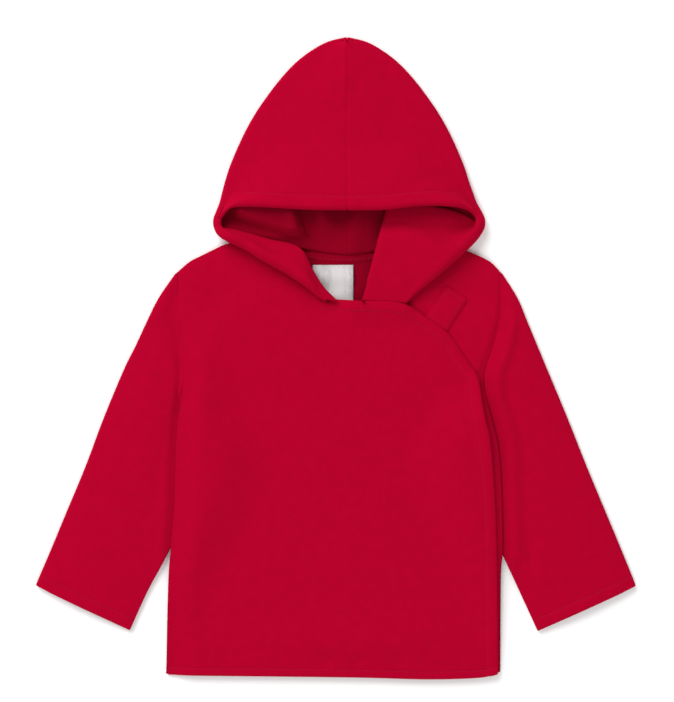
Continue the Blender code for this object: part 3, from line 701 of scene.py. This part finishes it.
def hoodHalf(name, side, corner):
    # side is 1 for the wearer's left half and -1 for the right one
    rows = crown + corner
    last = len(rows) - 1
    which = "left" if side > 0 else "right"
    softEnd = sideCorner if side > 0 else last     # the upper edge of the folded side is soft this far
    highTurns = (crownSeamEnd, sideCorner) if side > 0 else (crownSeamEnd,)
    # form is the fold's radius and the upper layer's rise
    corners = {"low": (backSeamEnd, neckSeamEnd), "fold": (), "high": highTurns, "form": ()}
    tables = {key: [row[2 * k:2 * k + 2] for row in rows] for k, key in enumerate(corners)}
    trial = np.linspace(0, last, 1600)
    lines = {key: throughRows(tables[key], trial, corners[key]) for key in corners}
    step = np.maximum(np.linalg.norm(np.diff(lines["fold"], axis=0), axis=1),
                      np.linalg.norm(np.diff(lines["high"], axis=0), axis=1))
    reach = np.concatenate([[0.0], np.cumsum(step)])
    goals = np.arange(0, reach[-1], hood["rowStep"])
    goals = np.sort(np.concatenate([[0.35, 0.8], goals, [reach[-1] - 0.4, reach[-1]]]))
    places = np.interp(goals, reach, trial)
    kept = sorted({*corners["low"], *corners["high"]})
    for place in kept:
        places = places[np.abs(places - place) > 0.04]
    places = np.sort(np.concatenate([places, kept]))
    low, fold, high, form = (throughRows(tables[key], places, corners[key]) for key in corners)
    form = np.maximum(form, 0.0)

    def placed(path):
        return np.column_stack([hood["centre"] + side * path[:, 0], path[:, 1]])

    def highEdge(start, end):
        return thinned(placed(lines["high"][(trial >= start) & (trial <= end)]), 2.0)

    low, fold, high = placed(low), placed(fold), placed(high)
    brimEdge = highEdge(crownSeamEnd, 14.0)
    softEdge = highEdge(13.5, softEnd)
    sharpEdge = highEdge(sideCorner, last) if side > 0 else None
    out = pathNormals(fold) * side
    out[0] = (0.0, 1.0)
    inCrown = 1 - smooth((places - 11.0) / 4.0)
    inSide = smooth((places - 12.5) / 2.5)
    ending = 1 - smooth((places - last + 3.5) / 3.5)
    form[:, 0] += hood["sideRoll"][which] * inSide * ending
    sinkRows, sinkWidths, sinkShares = zip(*sinking[which])
    width = np.interp(places, sinkRows, sinkWidths)
    depth = np.interp(places, sinkRows, sinkShares)
    foldEdge = thinned(fold, 2.5)

    def lowHeight(x, y):
        # flat where it turns at the outline
        return hoodLowHeight(x, y) + insideHeights(x, y) * smooth((distanceTo(foldEdge, x, y) - 9.0) / 12.0)

    def highHeight(share, x, y, foldTop):
        toBrim = distanceTo(brimEdge, x, y)
        z = foldTop + form[:, 1] * math.sin(math.pi / 2 * share)
        z += inCrown * hood["crownRise"] * math.sin(math.pi / 2 * share) ** 2
        z += inCrown * hood["brimRise"] * smooth(share * 2.0) * (1 - smooth(toBrim / 70.0))
        z += smooth(share * 4.0) * inCrown * creaseHeights(crownCreases, x, y)
        z += inCrown * smooth(share * 3.0) * hemHeights(toBrim, cloth["brimHem"], 0.9, 0.22, 4.0, 4.0)
        # the crown's seam is a shallow groove
        z -= inCrown * 0.35 * np.exp(-((x - hood["centre"]) / 1.8) ** 2)
        z += smooth(share * 3.0) * softWaves(x, y, 5, 60, 0.2)
        # folded side: down onto the layer beneath at its upper edge
        toSoft = distanceTo(softEdge, x, y)
        thin = 1 - np.clip(toSoft / 3.4, 0.0, 1.0)
        beneath = lowHeight(x, y) + 1.15 + inSide * 1.1 * np.sqrt(1 - thin ** 2) + (1 - inSide) * 1.2
        left = 1 - np.clip(toSoft / width, 0.0, 1.0)
        sunk = left ** 1.5 if side < 0 else smooth(left * 2.1)
        z += inSide * depth * sunk * smooth(share * 2.5) * np.minimum(beneath - z, 0.0)
        if sharpEdge is not None:
            z -= inSide * rolledEdge(distanceTo(sharpEdge, x, y), 3.5, 2.4)
        return np.maximum(z, beneath)

    # close steps at the sewn edge of the lower layer and at the edge of the upper one
    lowShares = np.concatenate([[0.0, 0.0002, 0.0006, 0.004, 0.012],
                                1 - (1 - np.linspace(0.03, 1, 38)) ** 1.2])
    highShares = np.concatenate([1 - (1 - np.linspace(0, 1, 61)[:-1]) ** 1.35, [0.9994, 0.9998, 1.0]])
    grid = foldedGrid(low, fold, high, form[:, 0], out, lowShares, highShares, lowHeight, highHeight)
    rounding = np.ones(grid.shape[:2])
    rounding[places < crownSeamEnd, 50:] = 0.05
    rounding[places < backSeamEnd, :30] = 0.05
    rounding[(places >= backSeamEnd) & (places < 12.5), :30] = 3.0     # neck seam
    rounding[(places > 14.0) & (places < softEnd), 60:] = 3.0          # soft edge of the side
    if side > 0:
        grid, rounding = grid[::-1], rounding[::-1]
    # the lower layer seen through the face opening takes the darker fleece, which is painted shade
    return clothShell(name, grid, cloth["wall"], fleece, rounding, (fleeceBackPaintedShade, "upper")), brimEdge


rightHood, rightBrim = hoodHalf("rightHood", -1.0, cornerRight)
leftHood, leftBrim = hoodHalf("leftHood", 1.0, cornerLeft)
print("hood made")


# a full fold runs beside each armhole and down the side of the body
sleeveRidge = {"right": 2.9, "left": 4.0}

sleeveCreases = [
    (172, -160, 178, -195, 5, -1.6),
    (184, -160, 184, -222, 6, 1.0),
    (200, -205, 196, -228, 5, -0.8),
    (-162, -120, -170, -165, 8, -0.7),
]


def sleeve(name, side, armhole):
    rows = sleeveRows[side]
    last = len(rows) - 1
    trial = np.linspace(0, last, 800)
    fine = throughRows(rows, trial)
    reach = reachAlong(fine[:, 0:2])
    places = np.interp(gradedShares(reach[-1], 12.0, 2.6) * reach[-1], reach, trial)
    spots = throughRows(rows, places)
    outer, inner, roll = spots[:, 0:2], spots[:, 2:4], spots[:, 4]
    puff, lap = np.maximum(spots[:, 5], 0.0), np.clip(spots[:, 6], 0.0, 1.0)
    out = pathNormals(outer) * (1 if side == "left" else -1)
    edge = lineThrough(armhole)
    along = edge[0] - edge[8]      # the sleeve starts square to the top of the armhole
    out[0] = along / np.linalg.norm(along)
    start = edge[0] - out[0] * (roll[0] + cloth["first"])
    near = 1 - smooth(places / 3.0)
    cuffLine = np.stack([outer[-1], inner[-1]])

    def bend(share, plan):
        # the rings next to the armhole follow its curve
        curve = pointsAt(edge, np.array([share]))[0]
        chord = start + (edge[-1] - start) * share
        return plan + near[:, None] * (curve - chord)

    def lowHeight(x, y):
        return np.full(np.shape(x), cloth["first"])

    def highHeight(share, x, y, foldTop):
        free = 1 - lap
        rise = puff * np.sin(math.pi * np.minimum(share / free, 1.0)) ** 0.8
        z = foldTop + (cloth["first"] + cloth["layer"] - foldTop) * share + rise
        seam = seamHeight(x, y)
        joined = (1 - smooth(places / 1.6)) * (1 - smooth((share - 0.72) / 0.25)) * smooth(share * 5)
        z = z + joined * (seam - z)
        inOpen = smooth(share * 4) * (1 - smooth((share / free - 0.7) / 0.3))
        z += inOpen * softWaves(x, y, 12 if side == "left" else 13, 70, 0.25)
        nearOpen = smooth(share * 4) * (1 - smooth((share / free - 0.85) / 0.15))
        z += nearOpen * creaseHeights(sleeveCreases, x, y)
        if side == "left":
            beside = np.exp(-((distanceTo(sewnLeft, x, y) - 11.0) / 6.5) ** 2)
            ridge = beside * smooth((76.0 - y) / 60.0) * (1 - smooth((-150.0 - y) / 70.0))
        else:
            off = distanceTo(sewnRight, x, y)
            beside = smooth((off - 2.0) / 7.0) * np.exp(-(off / 26.0) ** 2)
            ridge = beside * smooth((30.0 - y) / 50.0) * (1 - smooth((-150.0 - y) / 60.0))
        z += sleeveRidge[side] * ridge * smooth(share * 4)
        cuff = hemHeights(distanceTo(cuffLine, x, y), cloth["cuffHem"], 0.4, 0.3, 2.0, 2.0)
        return z + smooth(share * 6) * cuff

    lowShares = np.concatenate([[0.0, 0.0002, 0.0006], np.linspace(0, 1, 25)[1:]])
    highShares = gradedShares(100.0, 3.0, 2.2, (False, True))
    grid = foldedGrid(inner, outer, inner, roll, out, lowShares, highShares, lowHeight, highHeight, bend)
    rounding = np.ones(grid.shape[:2])
    rounding[:3] = 0.25      # sewn to the armhole
    if side == "right":
        grid, rounding = grid[::-1], rounding[::-1]
    return clothShell(name, grid, cloth["wall"], fleece, rounding, (fleeceBackPaintedShade, "lower"))


rightSleeve = sleeve("rightSleeve", "right", armholeRight)
leftSleeve = sleeve("leftSleeve", "left", armholeLeft)
print("sleeves made")


# closure tab and neck label

tab = {
    "length": 33.0,
    "tucked": 3.0,      # length that is sewn in beneath the overlap's edge
    "corner": 3.0,
    "hem": 4.0,
    "stitchIn": 3.6,    # from the edge to the row of stitches
}


def tabAxes():
    # ends of the tab's root, directions along the root and out to the tab's free end
    a, b = tabRoot
    along = (b - a) / np.linalg.norm(b - a)
    return a, b, along, np.array([-along[1], along[0]])


def closureTab():
    a, b, along, out = tabAxes()
    width = np.linalg.norm(b - a)
    length = tab["length"] + tab["tucked"]
    a = a - out * tab["tucked"]
    runs = gradedShares(width, tab["hem"], 1.4)
    reaches = gradedShares(length, tab["hem"], 1.4)
    left = (length - reaches * length)[:, None]
    rounded = tab["corner"] ** 2 - np.maximum(tab["corner"] - left, 0) ** 2
    trim = tab["corner"] - np.sqrt(np.maximum(rounded, 0))     # taken off each side at the rounded corners
    sideways = (trim + (width - 2 * trim) * runs)[..., None]
    plan = a + along * sideways + out * (reaches * length)[:, None, None]
    x, y = plan[..., 0], plan[..., 1]
    z = underlapHeight(x, y) + cloth["layer"] - 0.4
    edge = np.minimum(np.minimum(runs, 1 - runs) * width, left)
    z += hemHeights(edge, tab["hem"], 0.0, 0.08, 8.0, 1.55)
    return clothShell("closureTab", np.dstack([x, y, z])[::-1], cloth["wall"], fleece, rounding=5.0)


label = {
    "width": 37.0,
    "height": 34.4,
    "x": -3.2,           # its middle
    "y": 49.0,           # its lower edge
    "wall": 0.5,
    "lift": 1.45,        # from the back panel's middle to the label's
    "bow": 2.5,          # it bows up most at this share of its height, over this share of it
    "bowAt": 0.68,
    "bowWidth": 0.22,
    "stitchTop": 81.6,   # the row of stitches along its top
    "stitchIn": 2.1,     # and how far the row ends from each side
}


def neckLabel():
    across = np.linspace(-0.5, 0.5, 41)
    up = np.linspace(0, 1, 37)
    u, v = np.meshgrid(across, up)
    x = label["x"] + u * label["width"]
    y = label["y"] + v * label["height"]
    z = backHeight(x, y) + label["lift"]
    z = z + label["bow"] * np.exp(-((v - label["bowAt"]) / label["bowWidth"]) ** 2)
    return clothShell("neckLabel", np.dstack([x, y, z]), label["wall"], satin)


closureTabPiece = closureTab()
neckLabelPiece = neckLabel()
print("tab and label made")


# stitches

stitch = {
    "length": 2.6,
    "thickness": 0.5,
    "pitch": 3.3,
    "proud": 0.1,      # how far the thread's middle stands over the cloth
    "seed": 7,
}


def stitchTree():
    # small capsules of thread set along every line of a mesh
    tree = bpy.data.node_groups.new("stitchRow", "GeometryNodeTree")
    for title, kind in (("Lines", "Geometry"), ("Pitch", "Float"), ("Length", "Float"),
                        ("Thickness", "Float"), ("Seed", "Int"), ("Thread", "Material")):
        tree.interface.new_socket(title, in_out="INPUT", socket_type="NodeSocket" + kind)
    tree.interface.new_socket("Stitches", in_out="OUTPUT", socket_type="NodeSocketGeometry")
    given = addNode(tree, "NodeGroupInput").outputs
    curve = addNode(tree, "GeometryNodeMeshToCurve", None, {"Mesh": given["Lines"]})
    spots = addNode(tree, "GeometryNodeCurveToPoints", {"mode": "LENGTH"},
                    {"Curve": curve.outputs["Curve"], "Length": given["Pitch"]})
    capsule = addNode(tree, "GeometryNodeMeshUVSphere", {"Segments": 6, "Rings": 5, "Radius": 0.5})
    # inputs 2 and 3 are the least and the most share of the length
    uneven = addNode(tree, "FunctionNodeRandomValue", {"data_type": "FLOAT", 2: 0.9, 3: 1.08},
                     {"Seed": given["Seed"]})
    length = addNode(tree, "ShaderNodeMath", {"operation": "MULTIPLY"},
                     {0: given["Length"], 1: uneven.outputs[1]})
    size = addNode(tree, "ShaderNodeCombineXYZ", None,
                   {"X": given["Thickness"], "Y": given["Thickness"], "Z": length.outputs[0]})
    sewn = addNode(tree, "GeometryNodeInstanceOnPoints", None,
                   {"Points": spots.outputs["Points"], "Instance": capsule.outputs["Mesh"],
                    "Rotation": spots.outputs["Rotation"], "Scale": size.outputs["Vector"]})
    real = addNode(tree, "GeometryNodeRealizeInstances", None, {"Geometry": sewn.outputs["Instances"]})
    level = addNode(tree, "GeometryNodeSetShadeSmooth", None, {"Geometry": real.outputs["Geometry"]})
    done = addNode(tree, "GeometryNodeSetMaterial", None,
                   {"Geometry": level.outputs["Geometry"], "Material": given["Thread"]})
    addNode(tree, "NodeGroupOutput", None, {"Stitches": done.outputs["Geometry"]})
    return tree


stitchRow = stitchTree()


def besideLine(line, distance):
    # a line parallel to another, on its left for a positive distance
    return thinned(line + pathNormals(line) * distance, 2.0)


def sewRows(name, piece, lines, yarn=thread):
    # rows of stitches along plan lines, on top of a piece
    above = 0.2      # metres, higher than anything here
    cast = BVHTree.FromObject(piece, bpy.context.evaluated_depsgraph_get())
    points, edges = [], []
    for line in lines:
        start = len(points)
        for x, y in line:
            hit = cast.ray_cast(Vector((x * mm, y * mm, above)), Vector((0, 0, -1)))[0]
            if hit is not None:
                points.append(hit + Vector((0, 0, stitch["proud"] * mm)))
        edges += [(k, k + 1) for k in range(start, len(points) - 1)]
    rows = bpy.data.objects.new(name, bpy.data.meshes.new(name + "Lines"))
    rows.data.from_pydata(points, edges, [])
    bpy.context.scene.collection.objects.link(rows)
    modifier = rows.modifiers.new("stitches", "NODES")
    modifier.node_group = stitchRow
    values = {"Pitch": stitch["pitch"] * mm, "Length": stitch["length"] * mm,
              "Thickness": stitch["thickness"] * mm, "Seed": stitch["seed"], "Thread": yarn}
    for socket in stitchRow.interface.items_tree:
        if socket.name in values:
            modifier[socket.identifier] = values[socket.name]
    made = bpy.data.meshes.new_from_object(rows.evaluated_get(bpy.context.evaluated_depsgraph_get()))
    rows.modifiers.clear()
    rows.data = made
    made.name = name
    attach(rows, "root")
    return rows


def cuffRow(side):
    # across the sleeve, above its turned end
    outer, inner = np.array(sleeveRows[side][-1][0:2]), np.array(sleeveRows[side][-1][2:4])
    back = np.array(sleeveRows[side][-2][0:2]) - outer
    shares = np.linspace(0.03, 0.97, 30)[:, None]
    return outer + (inner - outer) * shares + back / np.linalg.norm(back) * cloth["cuffHem"]


def tabRow():
    # up one side, along the free end and down the other side
    a, b, along, out = tabAxes()
    a, b = a + along * tab["stitchIn"], b - along * tab["stitchIn"]
    end = out * (tab["length"] - tab["stitchIn"])
    return thinned(np.array([a, a + end, b + end, b]), 1.6)


def labelRow():
    # the label is sewn to the neck along its top
    half = label["width"] / 2 - label["stitchIn"]
    ends = [(label["x"] - half, label["stitchTop"]), (label["x"] + half, label["stitchTop"])]
    return thinned(np.array(ends), 1.5)


frontRows = [besideLine(overlapEdge, -cloth["edgeHem"]),
             besideLine(thinned(lineThrough(hem[:7])), cloth["bodyHem"])]
# the face edge turns at its outer ends, and the rows of stitches stop 24 mm before them
rightBrimRow = besideLine(rightBrim[:-12], -cloth["brimHem"])
leftBrimRow = besideLine(leftBrim[:-12], cloth["brimHem"])
frontStitches = sewRows("rightFrontStitches", rightFront, frontRows)
backStitches = sewRows("backStitches", backPanel, [besideLine(neckSeam, -cloth["neckBand"])])
rightCuffStitches = sewRows("rightCuffStitches", rightSleeve, [cuffRow("right")])
leftCuffStitches = sewRows("leftCuffStitches", leftSleeve, [cuffRow("left")])
rightHoodStitches = sewRows("rightHoodStitches", rightHood, [rightBrimRow])
leftHoodStitches = sewRows("leftHoodStitches", leftHood, [leftBrimRow])
tabStitches = sewRows("tabStitches", closureTabPiece, [tabRow()])
labelStitches = sewRows("labelStitches", neckLabelPiece, [labelRow()], labelThread)
print("stitches made")


# what each piece stands for

for piece, node, slot in (
        (backPanel, "back", "red_fleece"), (rightFront, "front_right", "red_fleece"),
        (leftFront, "front_left", "red_fleece"), (rightSleeve, "sleeve_right", "red_fleece"),
        (leftSleeve, "sleeve_left", "red_fleece"), (rightHood, "hood_right", "red_fleece"),
        (leftHood, "hood_left", "red_fleece"), (closureTabPiece, "closure_tab", "red_fleece"),
        (neckLabelPiece, "neck_label", "white_satin")):
    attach(piece, "root")
    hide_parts(node)


# how each piece was cut: width and length in metres, area in square metres, how it lies, on what,
# and the stitches on it

for piece, flat, area, held, under, sewn in (
        (backPanel, (0.303, 0.392), 0.1132, "laid", ["studioFloor"], [backStitches]),
        (rightFront, (0.300, 0.393), 0.1014, "laid", ["backPanel", "leftFront", "rightHood"],
         [frontStitches]),
        (leftFront, (0.287, 0.389), 0.0948, "laid", ["backPanel", "leftHood"], []),
        (rightSleeve, (0.245, 0.306), 0.0463, "folded", ["studioFloor"], [rightCuffStitches]),
        (leftSleeve, (0.245, 0.306), 0.0471, "folded", ["studioFloor"], [leftCuffStitches]),
        (rightHood, (0.240, 0.300), 0.0361, "folded", ["studioFloor", "backPanel", "rightFront"],
         [rightHoodStitches]),
        (leftHood, (0.240, 0.300), 0.0406, "folded", ["studioFloor", "backPanel", "leftFront"],
         [leftHoodStitches]),
        (closureTabPiece, (0.0238, 0.036), 0.00085, "laid", ["leftFront"], [tabStitches]),
        (neckLabelPiece, (0.037, 0.0346), 0.00127, "laid", ["backPanel"], [labelStitches])):
    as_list(under)
    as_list(sewn)


# floor, light and camera

studio = {
    "floor": 6.0,          # metres, from the middle to each edge
    "board": ("#F4F4F4", "#F7F7F7"),
    "skyStrength": 0.54,
    # place and width in metres, power in watts
    "keyLight": ((-1.4, 2.3, 2.1), 2.8, 122.0),
    "fillLight": ((0.2, -2.5, 2.0), 2.4, 48.0),
    "eye": (0.0004, 0.00585, 2.006),     # metres
    "lens": 114.1,
}


def softLight(name):
    # a white disc that faces the jacket
    place, size, power = studio[name]
    lamp = bpy.data.lights.new(name, "AREA")
    lamp.shape = "DISK"
    lamp.size = size
    lamp.energy = power
    holder = bpy.data.objects.new(name, lamp)
    holder.location = place
    holder.rotation_euler = (-Vector(place)).to_track_quat("-Z", "Y").to_euler()
    bpy.context.scene.collection.objects.link(holder)


def floorMaterial():
    # painted studio board: matt and white, with the faintest unevenness
    finish = {"Roughness": 0.9, "Specular IOR Level": 0.1}
    made, tree, surface, onPiece = newMaterial("mattWhiteBoard", finish)
    grain = addNode(tree, "ShaderNodeTexNoise", {"Scale": 6.0, "Detail": 1.0}, onPiece)
    colourSurface(tree, surface, grain.outputs["Fac"], *studio["board"])
    return made


floorMesh = bpy.data.meshes.new("studioFloor")
far = studio["floor"]
floorMesh.from_pydata([(-far, -far, 0), (far, -far, 0), (far, far, 0), (-far, far, 0)], [], [(0, 1, 2, 3)])
floorMesh.materials.append(floorMaterial())
studioFloor = bpy.data.objects.new("studioFloor", floorMesh)
bpy.context.scene.collection.objects.link(studioFloor)

softLight("keyLight")
softLight("fillLight")

world = bpy.data.worlds.new("paleStudio")
world.use_nodes = True
sky = world.node_tree.nodes["Background"]
sky.inputs["Color"].default_value = hexColour("#FFFFFF")
sky.inputs["Strength"].default_value = studio["skyStrength"]
bpy.context.scene.world = world

cameraData = bpy.data.cameras.new("overheadCamera")
cameraData.lens = studio["lens"]
cameraData.sensor_width = 36.0
camera = bpy.data.objects.new("overheadCamera", cameraData)
camera.location = studio["eye"]
bpy.context.scene.collection.objects.link(camera)
bpy.context.scene.camera = camera
bpy.context.scene.view_settings.view_transform = "Standard"
